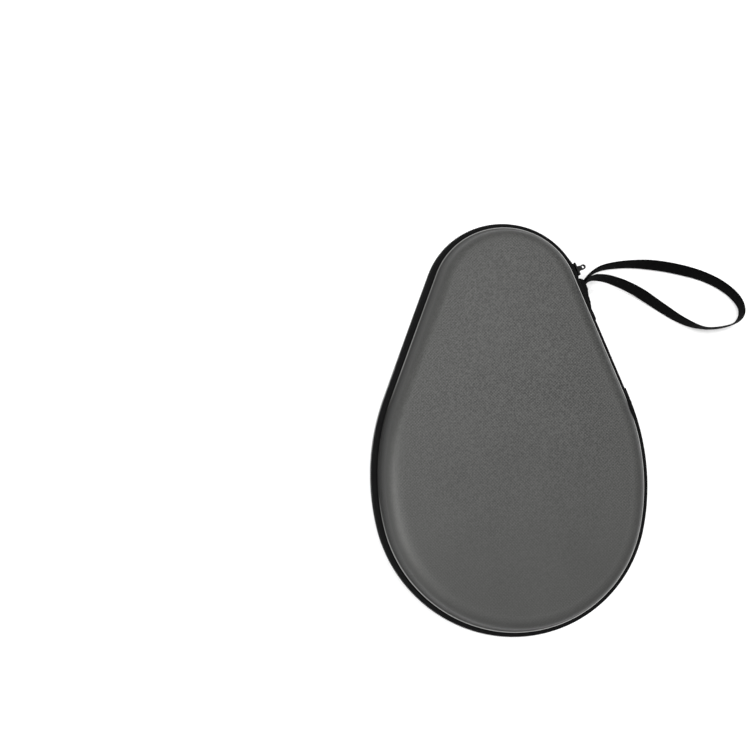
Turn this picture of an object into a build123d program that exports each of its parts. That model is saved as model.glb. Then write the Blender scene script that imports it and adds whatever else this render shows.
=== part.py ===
"""Hard-shell case for a table-tennis bat.

Two moulded foam halves lie one on the other, joined by a fabric hinge on one straight side and by a
zip round the rest of the rim. A webbing wrist strap is sewn in beside the closed end of the zip.

Frame: the case lies on its back shell. +Z is its thickness, +Y points to the narrow end that holds
the bat's handle, and the origin is at the centre of the footprint, on the surface it lies on.
All sizes are in millimetres.
"""
import os
from math import acos, asin, cos, degrees, pi, radians, sin, sqrt, tan

from build123d import *

# --- Driving dimensions -----------------------------------------------------------------------
THICKNESS = 48.0          # closed case, back to front
NARROW_R = 54.0           # shell rim: radius round the handle end
HIP_R = 155.0             # shell rim: radius where the straight sides turn into the wide end
WIDE_R = 93.0             # shell rim: radius round the blade end
RIM_HALF_WIDTH = 94.8     # shell rim: half of the widest part
SIDE_ANGLE = 20.4         # straight sides, from the case's long axis, degrees
RIDGE = 5.3               # the zip's ridge stands this far out from the shell rim
BAND_HALF = 8.5           # half height of the fabric band between the two shells

WALL_DRAFT = 26.0         # shell walls lean in, degrees
SHOULDER_R = 11.0         # shell wall to panel
SKIN = 0.8                # laminated outer skin
FOAM = 3.0                # moulded EVA
LINING = 0.5              # knitted lining
GLUE = 0.05               # glue line between layers
SHELL_IN = 1.0            # the shell's wall stands this far in from the rim line
LIP_OUT = 0.7             # pinched lip of skin round the wall's foot
LIP_HEIGHT = 0.8

PARTING = 0.35            # each half of the band stays this far from the parting plane
TAPE = 0.9                # zip tape thickness
TAPE_OUT = 4.15           # the tape's outer face, out from the shell rim
TAPE_BEND_R = 4.9         # the tape bends in towards the shell rim
TAPE_TOP = 8.4            # the tape's sewn margin, up from the parting plane
TAPE_MARGIN_IN = 3.5      # the sewn margin reaches this far under the shell
COIL_LOW = 0.35           # the coil's teeth, up from the parting plane
COIL_HIGH = 2.75

HINGE_START = 38.0        # the fabric hinge, measured down the straight side
HINGE_END = 98.0
HINGE_OUT = 3.4
HINGE_GAP = 0.2           # between the strip's ends and the zip tapes
HINGE_LINING_IN = 1.0     # the thin strip behind it, inside
HINGE_LINING_OUT = 1.6
HINGE_LINING_TOP = 5.7
HINGE_LINING_LAP = 4.0    # it runs on past the hinge at both ends
COIL_END = 104.0          # the zip's lower end, down the same side
COIL_START_BASE = 3.5     # the zip's upper end, on the base half
COIL_START_LID = -11.5    # and on the lid half, just past the closed slider
STOP_LENGTH = 1.8
STOP_GAP = 0.2
UPPER_PATCH = (31.5, 37.5)  # folded cloth over the tapes' ends, down the side
LOWER_PATCH = (92.3, 100.0)

BINDING = 0.8             # binding tape over the raw edge, inside
BINDING_FOOT_IN = 2.0     # its lower leg starts this far in from the rim line
BINDING_TOP = 11.4        # it reaches this far up the inner wall from the parting plane
STITCH_PITCH = 6.0
STITCH_LENGTH = 3.4
STITCH_SIZE = 0.45
STITCH_HEIGHT = 9.9

SLIDER_LENGTH = 10.0
SLIDER_ALONG = -2.5       # where its middle is when closed, down the straight side
SLIDER_HALF_HEIGHT = 4.2
SLIDER_PLATE = 1.1
SLIDER_GAP_OUT = 0.6      # running clearance to the coil's ridge
INNER_PLATE = (1.7, 2.7)  # the plate behind the tapes, out from the rim line
SLIDER_POST = 3.0         # length of the post between the coils
SLIDER_POST_HALF = 0.25
SLIDER_ROUNDING = 0.4
LUG_WIDTH = 4.0
LUG_THICKNESS = 0.8
LUG_PAST_PIN = 1.3
PULL_CLEARANCE = 0.15     # between the pull and each lug
PULL_PIVOT_OUT = 3.3      # the pull's pin, out from the ridge
PIN_R = 0.6
PIN_CLEARANCE = 0.06
PULL_EYE_R = 1.5
PULL_REACH = 9.2          # the pull's tip, out from the ridge
PULL_TIP_R = 2.0
PULL_HOLE_R = 1.0
PULL_THICKNESS = 1.4
DRUM_R = 9.45             # the lid's tape stays out of this drum round the fold line
DRUM_LENGTH = 13.0
GUARD_FLAP = (0.6, 1.4)   # cloth behind the closed slider, out from the rim line
GUARD_LOW = -6.6
GUARD_HIGH = 5.9
GUARD_START = -9.0
GUARD_END = 4.0

BAND_Y = 40.0             # elastic band that holds the bat's handle
BAND_WIDTH = 22.0
BAND_Z = 15.0
BAND_THICKNESS = 1.0
BAND_GAP = 0.8            # band's ends to the binding
TAB_GAP = 1.4             # sewn ends to the binding
TAB_REACH = 16.0          # its sewn ends reach this far in from the shell rim
POCKET_EDGE_Y = -5.0      # mesh pocket in the lid, from here to the wide end
POCKET_Z = 37.0
POCKET_THICKNESS = 0.8
HEM_WIDTH = 6.0
HEM_THICKNESS = 1.6

ANCHOR_START = 8.0        # cloth tab that the strap's ends come out of, down the side
ANCHOR_END = 18.0
ANCHOR_LOW = -8.2
ANCHOR_HIGH = -3.2
BAR_TACKS = (8.1, 17.3)   # their stations down the side
BAR_TACK_WIDTH = 0.6
BAR_TACK_PROUD = 0.25
# The zip tapes' joined end beside the strap: (out from the ridge, down the side).
TAIL_OUTLINE = [(0.05, 3.6), (4.2, 4.6), (5.0, 9.0), (5.0, 13.0), (0.4, 40.0), (0.05, 40.0)]
TAIL_LOW = -2.0
TAIL_THICKNESS = 0.9

STRAP_WIDTH = 10.0        # wrist strap: flat webbing
STRAP_THICKNESS = 0.9
# The strap's route, a loop from its anchor and back: (down the side, out from the ridge, height).
STRAP_ROUTE = [
    (11.0, -0.4, 18.0),
    (7.6, 5.6, 17.2),
    (3.4, 13.4, 15.6),
    (0.6, 24.5, 12.0),
    (2.8, 41.3, 8.2),
    (9.4, 62.4, 5.9),
    (21.3, 83.8, 5.5),
    (37.1, 104.5, 5.5),
    (54.3, 117.0, 5.5),
    (69.3, 120.3, 5.5),
    (78.3, 112.7, 5.5),
    (77.7, 98.5, 5.5),
    (72.5, 82.6, 5.5),
    (60.3, 70.1, 5.5),
    (43.4, 58.5, 5.6),
    (27.1, 47.1, 7.0),
    (15.2, 33.9, 10.2),
    (9.0, 22.3, 13.8),
    (8.6, 12.2, 16.6),
    (12.4, 5.2, 17.6),
    (15.0, -0.4, 18.0),
]

# --- Derived places ---------------------------------------------------------------------------
Z_MID = THICKNESS / 2
SHELL_HEIGHT = Z_MID - BAND_HALF
HIP_TURN = degrees(acos((HIP_R - RIM_HALF_WIDTH) / (HIP_R - WIDE_R)))
HIP_X = RIM_HALF_WIDTH - HIP_R
STRAIGHT = (HIP_X + (HIP_R - NARROW_R) * cos(radians(SIDE_ANGLE))) / sin(radians(SIDE_ANGLE))
NARROW_TO_HIP = STRAIGHT * cos(radians(SIDE_ANGLE)) + (HIP_R - NARROW_R) * sin(radians(SIDE_ANGLE))
HIP_TO_WIDE = (HIP_R - WIDE_R) * sin(radians(HIP_TURN))
RIM_LENGTH = NARROW_R + NARROW_TO_HIP + HIP_TO_WIDE + WIDE_R
NARROW_Y = RIM_LENGTH / 2 - NARROW_R
HIP_Y = NARROW_Y - NARROW_TO_HIP
WIDE_Y = HIP_Y - HIP_TO_WIDE

OUTWARD = Vector(cos(radians(SIDE_ANGLE)), sin(radians(SIDE_ANGLE)), 0)
SIDE_TOP = Vector(0, NARROW_Y, 0) + OUTWARD * NARROW_R
# On the right-hand straight side: local x is outward from the shell rim, local y runs up the side.
SIDE = Plane(origin=SIDE_TOP + Vector(0, 0, Z_MID), x_dir=OUTWARD, z_dir=(0, 0, 1))


# --- Shapes shared by the two halves ----------------------------------------------------------
def outline(offset):
    """The case's outline as a face in the XY plane, moved outwards from the shell rim by offset."""
    narrow = NARROW_R + offset
    hip = HIP_R + offset
    wide = WIDE_R + offset
    top = CenterArc((0, NARROW_Y), narrow, SIDE_ANGLE, 180 - 2 * SIDE_ANGLE)
    left_hip = CenterArc((-HIP_X, HIP_Y), hip, 180 - SIDE_ANGLE, SIDE_ANGLE + HIP_TURN)
    bottom = CenterArc((0, WIDE_Y), wide, 180 + HIP_TURN, 180 - 2 * HIP_TURN)
    right_hip = CenterArc((HIP_X, HIP_Y), hip, -HIP_TURN, SIDE_ANGLE + HIP_TURN)
    left_side = Line(top @ 1, left_hip @ 0)
    right_side = Line(right_hip @ 1, top @ 0)
    return make_face([top, left_side, left_hip, bottom, right_hip, right_side])


def prism(offset, low, high):
    """A straight block with the case's outline. Heights count from the parting plane."""
    return extrude(Pos(0, 0, Z_MID + low) * outline(offset), amount=high - low)


def ring(outer, inner, low, high):
    """A band with straight walls between two offsets of the outline."""
    return prism(outer, low, high) - prism(inner, low, high)


def dome(offset, low, high, bend, draft=0.0):
    """A block with the case's outline, leaning walls and a rounded upper edge."""
    start = Pos(0, 0, Z_MID + low) * outline(offset)
    block = extrude(start, amount=high - low, taper=draft)
    return fillet(block.faces().sort_by(Axis.Z)[-1].edges(), bend)


def shell_block(depth):
    """The moulded shell's shape, with its surface moved in by depth."""
    wall = SHELL_IN + depth / cos(radians(WALL_DRAFT))
    return dome(-wall, BAND_HALF, Z_MID - depth, SHOULDER_R - depth, WALL_DRAFT)


def layer(outer_depth, thickness):
    """One layer of the shell, between two depths under its surface."""
    return shell_block(outer_depth) - shell_block(outer_depth + thickness)


def side_box(along_start, along_end, out_start, out_end, low, high):
    """A box beside the straight side: down it, out from the rim line, up from the parting plane."""
    box = Box(out_end - out_start, along_end - along_start, high - low)
    middle = ((out_start + out_end) / 2, -(along_start + along_end) / 2, (low + high) / 2)
    return SIDE * Pos(*middle) * box


def side_point(along, out, height):
    """A point given down the side, out from the zip's ridge, and up from the floor."""
    local = Vector(RIDGE + out, -along, height - Z_MID)
    return SIDE.from_local_coords(local)


def to_base(upper):
    """The same shape on the base half."""
    return mirror(upper, about=Plane.XY.offset(Z_MID))


def side_window(start, end, low=0.0):
    """All of the fabric band on the straight side between two stations."""
    return side_box(start, end, -TAPE_MARGIN_IN - 1.0, 2 * RIDGE, low, BAND_HALF)


# --- Moulded shells ---------------------------------------------------------------------------
def outer_skin():
    """Laminated skin with its pinched lip at the rim."""
    lip = prism(LIP_OUT - SHELL_IN, BAND_HALF, BAND_HALF + LIP_HEIGHT)
    return (shell_block(0) + lip) - shell_block(SKIN)


def foam_shell():
    return layer(SKIN + GLUE, FOAM)


def lining():
    return layer(SKIN + FOAM + 2 * GLUE, LINING)


LINING_DEPTH = SKIN + FOAM + LINING + 2 * GLUE
LINING_STEP = SHELL_IN + LINING_DEPTH / cos(radians(WALL_DRAFT))


def cavity(clearance):
    """The upper half of the space inside the lining, smaller all round by clearance."""
    walls = dome(
        -LINING_STEP - clearance,
        BAND_HALF,
        Z_MID - LINING_DEPTH - clearance,
        SHOULDER_R - LINING_DEPTH - clearance,
        WALL_DRAFT,
    )
    return walls


# --- Zip, hinge and binding -------------------------------------------------------------------
def tape_ring(out, thickness):
    """Fabric band from the parting plane, bending in under the shell's rim."""
    outer = dome(out, PARTING, TAPE_TOP, TAPE_BEND_R)
    inner = dome(out - thickness, PARTING, TAPE_TOP - thickness, TAPE_BEND_R - thickness)
    return outer - inner - prism(-TAPE_MARGIN_IN, PARTING, TAPE_TOP)


def zip_tape():
    return tape_ring(TAPE_OUT, TAPE) - side_window(HINGE_START, HINGE_END)


def lid_clear_of_slider():
    """The closed slider and its pull stay inside this drum round the fold line as the lid opens."""
    drum = Cylinder(DRUM_R, DRUM_LENGTH, rotation=(90, 0, 0))
    return SIDE * Pos(RIDGE, -SLIDER_ALONG, 0) * drum


def zip_coil(start):
    """The row of teeth along the ridge, left open from start to the zip's lower end."""
    teeth = ring(RIDGE, TAPE_OUT + GLUE, COIL_LOW, COIL_HIGH)
    return teeth - side_window(start, COIL_END)


def coil_piece(start, end):
    """A piece of the coil's own section, between two stations of the straight side."""
    band = ring(RIDGE - GLUE, TAPE_OUT + GLUE, COIL_LOW, COIL_HIGH)
    return band & side_window(start, end)


def zip_stops(start):
    upper_start = start + STOP_GAP
    lower_end = COIL_END - STOP_GAP
    upper = coil_piece(upper_start, upper_start + STOP_LENGTH)
    lower = coil_piece(lower_end - STOP_LENGTH, lower_end)
    return [upper, lower]


def zip_end_patches():
    """Folded fabric over the zip tape's ends, either side of the fabric hinge."""
    return [coil_piece(*UPPER_PATCH), coil_piece(*LOWER_PATCH)]


def hinge_strip():
    """Half of the woven hinge strip, from the fold line to the shell's rim."""
    return tape_ring(HINGE_OUT, TAPE) & side_window(HINGE_START + HINGE_GAP, HINGE_END - HINGE_GAP)


def hinge_lining():
    """Half of the thin strip that covers the hinge on the inside."""
    strip = ring(HINGE_LINING_OUT, HINGE_LINING_IN, PARTING, HINGE_LINING_TOP)
    return strip & side_window(HINGE_START - HINGE_LINING_LAP, HINGE_END + HINGE_LINING_LAP)


def rim_binding():
    """Binding tape round the raw edge: a leg under the shell and a leg up the inner wall."""
    outer = LINING_STEP + GLUE
    inner = outer + BINDING
    wall_bottom = TAPE_TOP - TAPE - GLUE
    under = ring(-BINDING_FOOT_IN, -inner, wall_bottom - BINDING, wall_bottom)
    turn = ring(-outer, -inner, wall_bottom - BINDING, BAND_HALF)
    start = Pos(0, 0, Z_MID + BAND_HALF)
    leg_outer = extrude(start * outline(-outer), amount=BINDING_TOP - BAND_HALF, taper=WALL_DRAFT)
    leg_inner = extrude(start * outline(-inner), amount=BINDING_TOP - BAND_HALF, taper=WALL_DRAFT)
    return under + turn + (leg_outer - leg_inner)


def seam_stitches():
    """Lockstitches along the inner leg of the binding, one solid each."""
    rise = (STITCH_HEIGHT + STITCH_SIZE / 2 - BAND_HALF) * tan(radians(WALL_DRAFT))
    offset = LINING_STEP + GLUE + BINDING + rise + STITCH_SIZE / 2 + GLUE
    path = outline(-offset).face().outer_wire()
    count = int(path.length / STITCH_PITCH)
    stitches = []
    for index in range(count):
        station = (index + 0.5) / count
        point = path.position_at(station) + Vector(0, 0, Z_MID + STITCH_HEIGHT)
        frame = Plane(origin=point, x_dir=path.tangent_at(station), z_dir=(0, 0, 1))
        stitches.append(frame * Box(STITCH_LENGTH, STITCH_SIZE, STITCH_SIZE))
    return stitches


# --- Slider and pull --------------------------------------------------------------------------
SLIDER_ANGLE = SIDE_ANGLE + degrees(-SLIDER_ALONG / (NARROW_R + RIDGE))


def narrow_end_sector(inner_out, outer_out, length, low, high):
    """A curved block round the narrow end's centre, centred on the slider."""
    inner = NARROW_R + inner_out
    outer = NARROW_R + outer_out
    half = degrees(length / 2 / (NARROW_R + RIDGE))
    near = CenterArc((0, NARROW_Y), inner, SLIDER_ANGLE - half, 2 * half)
    far = CenterArc((0, NARROW_Y), outer, SLIDER_ANGLE - half, 2 * half)
    face = make_face([near, Line(near @ 1, far @ 1), far, Line(far @ 0, near @ 0)])
    return extrude(Pos(0, 0, Z_MID + low) * face, amount=high - low)


def slider_frame(out):
    """A frame at the slider's middle: x outward, y along the zip, at out from the ridge."""
    radial = Vector(cos(radians(SLIDER_ANGLE)), sin(radians(SLIDER_ANGLE)), 0)
    origin = Vector(0, NARROW_Y, Z_MID) + radial * (NARROW_R + RIDGE + out)
    return Plane(origin=origin, x_dir=radial, z_dir=(0, 0, 1))


def slider_body():
    """Outer and inner plates joined by the post between the coils, with two lugs for the pull."""
    face_out = RIDGE + SLIDER_GAP_OUT
    half = SLIDER_HALF_HEIGHT
    outer = narrow_end_sector(face_out, face_out + SLIDER_PLATE, SLIDER_LENGTH, -half, half)
    outer = fillet(outer.edges().filter_by(GeomType.LINE).filter_by(Axis.Z), SLIDER_ROUNDING)
    inner = narrow_end_sector(*INNER_PLATE, SLIDER_LENGTH - 1, -half, half)
    post = narrow_end_sector(INNER_PLATE[1], face_out, SLIDER_POST, -SLIDER_POST_HALF, SLIDER_POST_HALF)
    lug_reach = PULL_PIVOT_OUT - SLIDER_GAP_OUT - SLIDER_PLATE + LUG_PAST_PIN
    lug = Box(lug_reach, LUG_WIDTH, LUG_THICKNESS, align=(Align.MIN, Align.CENTER, Align.CENTER))
    root = slider_frame(SLIDER_GAP_OUT + SLIDER_PLATE - GLUE)
    offset = PULL_THICKNESS / 2 + PULL_CLEARANCE + LUG_THICKNESS / 2
    body = outer + inner + post
    for side in (-1, 1):
        body += root * Pos(0, 0, side * offset) * lug
    hole = slider_frame(PULL_PIVOT_OUT) * Cylinder(PIN_R, 2 * half)
    return body - hole


def slider_pin():
    """The pull's swivel pin, pressed into both lugs."""
    length = PULL_THICKNESS + 2 * PULL_CLEARANCE + 2 * LUG_THICKNESS
    return slider_frame(PULL_PIVOT_OUT) * Cylinder(PIN_R, length)


def pull_tab():
    """A flat teardrop tab with an eye round the pin and a finger hole at its end."""
    reach = PULL_REACH - PULL_PIVOT_OUT
    tip = reach - PULL_TIP_R
    sketch = Circle(PULL_EYE_R) + Pos(tip, 0) * Circle(PULL_TIP_R)
    taper = asin((PULL_TIP_R - PULL_EYE_R) / tip)
    eye_point = (-PULL_EYE_R * sin(taper), PULL_EYE_R * cos(taper))
    tip_point = (tip - PULL_TIP_R * sin(taper), PULL_TIP_R * cos(taper))
    corners = [eye_point, tip_point, (tip_point[0], -tip_point[1]), (eye_point[0], -eye_point[1])]
    sketch += make_face(Polyline(*corners, close=True))
    sketch -= Circle(PIN_R + PIN_CLEARANCE)
    sketch -= Pos(tip, 0) * Circle(PULL_HOLE_R)
    tab = extrude(sketch, amount=PULL_THICKNESS / 2, both=True)
    return slider_frame(PULL_PIVOT_OUT) * tab


def guard_flap():
    """Fabric flap on the base that closes the band behind the slider."""
    inner, outer = GUARD_FLAP
    return ring(outer, inner, GUARD_LOW, GUARD_HIGH) & side_window(GUARD_START, GUARD_END, -BAND_HALF)


# --- Inside fittings --------------------------------------------------------------------------
def base_cavity(clearance):
    return to_base(cavity(clearance))


def inside_binding(clearance):
    """The base's inner space, in from the binding's inner face by clearance."""
    return base_cavity(0.1) & prism(-LINING_STEP - BINDING - clearance, -Z_MID, 0)


def handle_band():
    """Elastic band across the base, over the bat's handle."""
    band = Pos(0, BAND_Y, BAND_Z) * Box(260, BAND_WIDTH, BAND_THICKNESS)
    return band & inside_binding(BAND_GAP)


def handle_band_tabs():
    """The band's sewn ends, one under each end."""
    low = BAND_Z - BAND_THICKNESS / 2 - 0.05 - BAND_THICKNESS / 2
    whole = Pos(0, BAND_Y, low) * Box(260, BAND_WIDTH + 2, BAND_THICKNESS)
    ends = (whole & inside_binding(TAB_GAP)) - prism(-TAB_REACH, -Z_MID, 0)
    return ends.solids()


def pocket_mesh():
    """Mesh panel across the wide end of the lid."""
    panel = Pos(0, POCKET_EDGE_Y, POCKET_Z) * Box(
        260, 260, POCKET_THICKNESS, align=(Align.CENTER, Align.MAX, Align.CENTER)
    )
    return panel & cavity(0.1)


def pocket_hem():
    """Elastic hem along the pocket's open edge."""
    hem = Pos(0, POCKET_EDGE_Y + 0.05, POCKET_Z) * Box(
        260, HEM_WIDTH, HEM_THICKNESS, align=(Align.CENTER, Align.MIN, Align.CENTER)
    )
    return hem & cavity(0.1)


# --- Wrist strap ------------------------------------------------------------------------------
def strap_tube_radius():
    """A round tube with the webbing's own section area."""
    return sqrt(STRAP_WIDTH * STRAP_THICKNESS / pi)


def corner_radii(points):
    """The largest tangent arc that each corner's two runs leave room for."""
    radii = []
    for before, corner, after in zip(points, points[1:], points[2:]):
        run_in = corner - before
        run_out = after - corner
        turn = radians(run_in.get_angle(run_out))
        radii.append(0.45 * min(run_in.length, run_out.length) / tan(turn / 2))
    return radii


def wrist_strap():
    points = [side_point(*place) for place in STRAP_ROUTE]
    radii = corner_radii(points)
    path = FilletPolyline(*points, radius=radii)
    start = Plane(origin=path @ 0, z_dir=path % 0)
    tube = sweep(start * Circle(strap_tube_radius()), path=path)
    expected = STRAP_WIDTH * STRAP_THICKNESS * path.length
    print("strap corner radii:", [round(r, 1) for r in radii])
    print(f"strap length {path.length:.1f}, volume {tube.volume:.0f}, section x length {expected:.0f}")
    return tube


def strap_anchor():
    """Fabric tab sewn to the base's tape, which the strap's two ends come out of."""
    block = side_box(ANCHOR_START, ANCHOR_END, HINGE_LINING_OUT, RIDGE, ANCHOR_LOW, ANCHOR_HIGH)
    inside_tape = to_base(dome(TAPE_OUT + GLUE, PARTING, TAPE_TOP + GLUE, TAPE_BEND_R + GLUE))
    return block - inside_tape


def anchor_stitches():
    """Bar-tacks down both ends of the anchor tab."""
    face = (RIDGE, RIDGE + BAR_TACK_PROUD, ANCHOR_LOW + STITCH_SIZE, ANCHOR_HIGH - STITCH_SIZE)
    return [side_box(place, place + BAR_TACK_WIDTH, *face) for place in BAR_TACKS]


def zip_tail():
    """The zip tapes' joined end, which stands out beside the strap and tapers down the side."""
    corners = [(out, -along) for out, along in TAIL_OUTLINE]
    face = make_face(Polyline(*corners, close=True))
    return SIDE * Pos(RIDGE, 0, TAIL_LOW) * extrude(face, amount=TAIL_THICKNESS)


# --- Write the parts --------------------------------------------------------------------------
def write(name, shape):
    """One STEP file per node. A list of solids becomes one group."""
    solids = shape if isinstance(shape, list) else [shape]
    found = [solid for item in solids for solid in item.solids()]
    joined = found[0] if len(found) == 1 else Compound(children=found)
    joined.label = name
    export_step(joined, f"parts/{name}.step")


def main():
    os.makedirs("parts", exist_ok=True)
    skin = outer_skin()
    foam = foam_shell()
    inner = lining()
    tape = zip_tape()
    binding = rim_binding()
    stitches = seam_stitches()
    strip = hinge_strip()
    strip_lining = hinge_lining()
    patches = zip_end_patches()

    write("lid_outer_skin", skin)
    write("lid_foam_shell", foam)
    write("lid_lining", inner)
    write("lid_zip_tape", tape - lid_clear_of_slider())
    write("lid_zip_coil", zip_coil(COIL_START_LID))
    write("lid_zip_stops", zip_stops(COIL_START_LID))
    write("lid_zip_end_patches", patches)
    write("lid_hinge_strip", strip)
    write("lid_hinge_lining", strip_lining)
    write("lid_rim_binding", binding)
    write("lid_seam_stitches", stitches)
    write("lid_pocket_mesh", pocket_mesh())
    write("lid_pocket_hem", pocket_hem())

    write("base_outer_skin", to_base(skin))
    write("base_foam_shell", to_base(foam))
    write("base_lining", to_base(inner))
    write("base_zip_tape", to_base(tape))
    write("base_zip_coil", to_base(zip_coil(COIL_START_BASE)))
    write("base_zip_stops", [to_base(stop) for stop in zip_stops(COIL_START_BASE)])
    write("base_zip_end_patches", [to_base(patch) for patch in patches])
    write("base_hinge_strip", to_base(strip))
    write("base_hinge_lining", to_base(strip_lining))
    write("base_rim_binding", to_base(binding))
    write("base_seam_stitches", [to_base(stitch) for stitch in stitches])
    write("handle_band", handle_band())
    write("handle_band_tabs", handle_band_tabs())
    write("zip_guard_flap", guard_flap())
    write("zip_tail", zip_tail())
    write("strap_anchor", strap_anchor())
    write("strap_bar_tacks", anchor_stitches())
    write("wrist_strap", wrist_strap())

    write("slider_body", slider_body())
    write("slider_pin", slider_pin())
    write("pull_tab", pull_tab())
    print(f"outside {RIM_LENGTH + 2 * RIDGE:.1f} x {2 * (RIM_HALF_WIDTH + RIDGE):.1f} x {THICKNESS}")
    print(f"straight side {STRAIGHT:.1f}, narrow centre y {NARROW_Y:.2f}, hip turn {HIP_TURN:.2f}")
    print("side top", SIDE_TOP, "fold point", side_point(0, 0, Z_MID), "outward", OUTWARD)
    print("strap start", side_point(*STRAP_ROUTE[0]), "slider pin", slider_frame(PULL_PIVOT_OUT).origin)


main()
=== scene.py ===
"""Looks of the hard-shell bat case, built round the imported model. Lengths in this file are in
millimetres until they become mesh points; heights of rim pieces count from the parting plane."""
from functools import reduce
from math import acos, atan2, cos, exp, hypot, pi, radians, sin, sqrt, tan

import bmesh
import bpy
from mathutils import Matrix, Vector


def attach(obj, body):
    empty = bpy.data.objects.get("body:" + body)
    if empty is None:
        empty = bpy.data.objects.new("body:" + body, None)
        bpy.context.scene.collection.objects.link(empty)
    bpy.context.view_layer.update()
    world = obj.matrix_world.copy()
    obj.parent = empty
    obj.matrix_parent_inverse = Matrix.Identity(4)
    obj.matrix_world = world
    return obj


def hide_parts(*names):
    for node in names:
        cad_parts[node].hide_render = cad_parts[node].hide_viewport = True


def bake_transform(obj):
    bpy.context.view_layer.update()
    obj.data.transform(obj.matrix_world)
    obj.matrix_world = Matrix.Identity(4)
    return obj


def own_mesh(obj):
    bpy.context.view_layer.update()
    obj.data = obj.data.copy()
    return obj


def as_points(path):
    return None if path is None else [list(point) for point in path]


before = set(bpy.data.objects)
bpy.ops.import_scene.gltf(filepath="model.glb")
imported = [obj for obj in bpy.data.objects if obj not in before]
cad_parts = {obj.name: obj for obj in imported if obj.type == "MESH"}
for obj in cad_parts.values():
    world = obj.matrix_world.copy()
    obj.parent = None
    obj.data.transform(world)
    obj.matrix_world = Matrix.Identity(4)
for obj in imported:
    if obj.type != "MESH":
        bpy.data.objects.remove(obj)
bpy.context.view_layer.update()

scene = bpy.context.scene
MM = 0.001

# --- The case's dimensions, as in the CAD ---
NARROW_R = 54.0
HIP_R = 155.0
WIDE_R = 93.0
RIM_HALF_WIDTH = 94.8
SIDE_ANGLE = radians(20.4)
Z_MID = 24.0
BAND_HALF = 8.5           # half the zip band's height
RIDGE = 5.3               # the zip's ridge, out from the rim line
WALL_DRAFT = radians(26.0)
SHOULDER_R = 11.0
SKIN = 0.8
FOAM = 3.0
LINING = 0.5
GLUE = 0.05
SHELL_IN = 1.0            # the shell's wall stands this far in from the rim line
LIP_EDGE = -0.4           # the pinched lip's edge, out from the rim line
PARTING = 0.35            # each half of the band stays this far from the parting plane
TAPE_OUT = 4.15           # the zip tape's outer face
TAPE = 0.9                # its thickness
# Down the straight side from its top:
HINGE_START = 38.0
HINGE_END = 98.0
COIL_END = 104.0
FOLD_MIDDLE = 107.0       # the tapes' folded ends are thickest here
COIL_START_BASE = 3.5
COIL_START_LID = -11.5
BINDING = 0.8
BINDING_TOP = 11.4        # the tape over the raw edge reaches this height on the lining
LINING_DEPTH = SKIN + FOAM + LINING + 2 * GLUE
LINING_STEP = SHELL_IN + LINING_DEPTH / cos(WALL_DRAFT)

HIP_TURN = acos((HIP_R - RIM_HALF_WIDTH) / (HIP_R - WIDE_R))
HIP_X = RIM_HALF_WIDTH - HIP_R
STRAIGHT = (HIP_X + (HIP_R - NARROW_R) * cos(SIDE_ANGLE)) / sin(SIDE_ANGLE)
NARROW_TO_HIP = STRAIGHT * cos(SIDE_ANGLE) + (HIP_R - NARROW_R) * sin(SIDE_ANGLE)
HIP_TO_WIDE = (HIP_R - WIDE_R) * sin(HIP_TURN)
NARROW_Y = (NARROW_R + NARROW_TO_HIP + HIP_TO_WIDE + WIDE_R) / 2 - NARROW_R
HIP_Y = NARROW_Y - NARROW_TO_HIP
WIDE_Y = HIP_Y - HIP_TO_WIDE
OUTWARD = Vector((cos(SIDE_ANGLE), sin(SIDE_ANGLE), 0))
UPWARD = Vector((-sin(SIDE_ANGLE), cos(SIDE_ANGLE), 0))
SIDE_TOP = Vector((0, NARROW_Y, 0)) + OUTWARD * NARROW_R

NARROW_RUN = NARROW_R * (pi - 2 * SIDE_ANGLE)
HIP_RUN = HIP_R * (SIDE_ANGLE + HIP_TURN)
WIDE_RUN = WIDE_R * (pi - 2 * HIP_TURN)
RIM_RUN = NARROW_RUN + WIDE_RUN + 2 * HIP_RUN + 2 * STRAIGHT


# The rim from the top of the right-hand side, anticlockwise: each arc's run, centre, radius and first
# angle. The left-hand straight has only a run, and the right-hand one closes the loop.
RIM_PARTS = [
    (NARROW_RUN, (0, NARROW_Y), NARROW_R, SIDE_ANGLE),
    (STRAIGHT, None, 0.0, 0.0),
    (HIP_RUN, (-HIP_X, HIP_Y), HIP_R, pi - SIDE_ANGLE),
    (WIDE_RUN, (0, WIDE_Y), WIDE_R, pi + HIP_TURN),
    (HIP_RUN, (HIP_X, HIP_Y), HIP_R, -HIP_TURN),
]


def rim_at(run):
    """Point, outward direction and distance to the middle line, at a run round the rim."""
    run = run % RIM_RUN
    for length, centre, radius, first_angle in RIM_PARTS:
        if run >= length:
            run -= length
            continue
        if centre is None:
            out = Vector((-cos(SIDE_ANGLE), sin(SIDE_ANGLE)))
            down = Vector((-sin(SIDE_ANGLE), -cos(SIDE_ANGLE)))
            point = Vector((0, NARROW_Y)) + out * NARROW_R + down * run
            return point, out, -point.x / cos(SIDE_ANGLE)
        angle = first_angle + run / radius
        out = Vector((cos(angle), sin(angle)))
        point = Vector(centre) + out * radius
        return point, out, point.x / out.x if centre[0] else radius
    point = SIDE_TOP.xy - UPWARD.xy * (STRAIGHT - run)
    return point, OUTWARD.xy, point.x / OUTWARD.x


def runs_between(start, end, step):
    count = max(2, int(round((end - start) / step)))
    return [start + (end - start) * index / count for index in range(count + 1)]


def side_run(along):
    """The run of a station given down the straight side."""
    return -along


def rim_point(run, out, height):
    """A point in metres: round the rim, out from it, and up from the parting plane."""
    base, direction, _ = rim_at(run)
    spot = base + direction * out
    return Vector((spot.x * MM, spot.y * MM, (Z_MID + height) * MM))


def side_point(along, out, height):
    """A point in metres: down the side, out from the zip's ridge, and up from the floor."""
    spot = SIDE_TOP + OUTWARD * (RIDGE + out) - UPWARD * along
    return Vector((spot.x * MM, spot.y * MM, height * MM))


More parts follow.
